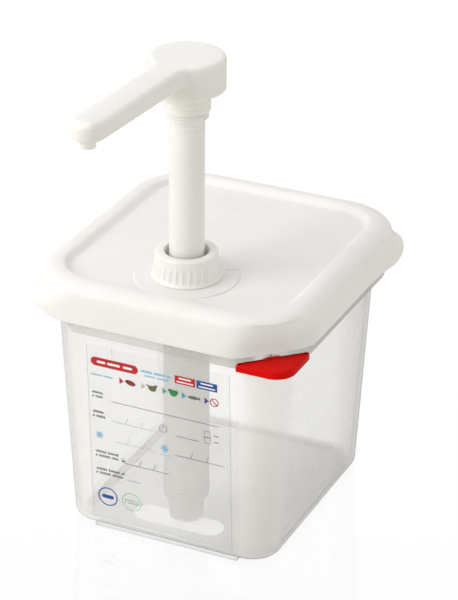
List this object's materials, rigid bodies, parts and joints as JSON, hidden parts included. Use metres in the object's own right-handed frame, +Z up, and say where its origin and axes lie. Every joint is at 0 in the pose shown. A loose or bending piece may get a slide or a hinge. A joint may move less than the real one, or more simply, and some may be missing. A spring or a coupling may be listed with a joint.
{
  "type": "condiment pump dispenser",
  "caption": "Food pan with a push-on lid and a hand pump through it: pressing the round head draws sauce up a barrel and out of a long spout.",
  "frame": {"origin": "on the surface the pan stands on, below the centre of the pan", "axes": "+Z up along the pump's travel, -Y from the pan towards the labelled face and the spout, +X to the right when facing the label"},
  "size_m": [0.1668, 0.2465, 0.295],
  "materials": {
    "natural_pp": "natural translucent polypropylene, smooth moulded",
    "label": "printed in-mould film",
    "clip_red": "moulded, semi-gloss",
    "lid_white": "soft satin moulded polyethylene",
    "pump_white": "semi-gloss moulded polyethylene",
    "barrel_pp": "milky polypropylene",
    "seal": "food-grade silicone",
    "steel": "bright stainless"
  },
  "bodies": {
    "pan": {"container": "natural_pp", "label_film": "label"},
    "clip": {"colour_clip": "clip_red"},
    "lid_set": {"lid": "lid_white", "neck_gasket": "seal", "pump_barrel": "barrel_pp", "guide_bush": "pump_white", "stem_wiper": "seal", "ball_retainer": "pump_white", "foot_valve": "barrel_pp", "foot_seal": "seal", "return_spring": "steel"},
    "collar": {"collar_nut": "pump_white"},
    "plunger": {"piston": "pump_white", "piston_ring_upper": "seal", "piston_ring_lower": "seal"},
    "head": {"press_head": "pump_white", "nozzle_tip": "pump_white", "stem": "pump_white", "discharge_cage": "pump_white"},
    "upper_ball": {"discharge_ball": "steel"},
    "lower_ball": {"suction_ball": "steel"}
  },
  "joints": [
    {"name": "lid_lift", "type": "slide", "parent": "pan", "child": "lid_set", "axis": [0, 0, 1], "range_m": [0, 0.17]},
    {"name": "clip_pull", "type": "slide", "parent": "pan", "child": "clip", "axis": [0.7071, -0.7071, 0], "range_m": [0, 0.02]},
    {"name": "collar_turn", "type": "hinge", "parent": "lid_set", "child": "collar", "pos_m": [0, -0.044, 0.165], "axis": [0, 0, 1], "range_deg": [0, 720]},
    {"name": "press", "type": "slide", "parent": "lid_set", "child": "plunger", "axis": [0, 0, 1], "range_m": [-0.08, 0], "stiffness_N_per_m": 150, "springref_m": 0.04, "deforming": ["return_spring"]},
    {"name": "spout_swivel", "type": "hinge", "parent": "plunger", "child": "head", "pos_m": [0, -0.044, 0.29], "axis": [0, 0, 1], "continuous": true},
    {"name": "upper_ball_lift", "type": "slide", "parent": "plunger", "child": "upper_ball", "axis": [0, 0, 1], "range_m": [0, 0.004]},
    {"name": "lower_ball_lift", "type": "slide", "parent": "lid_set", "child": "lower_ball", "axis": [0, 0, 1], "range_m": [0, 0.004]}
  ]
}
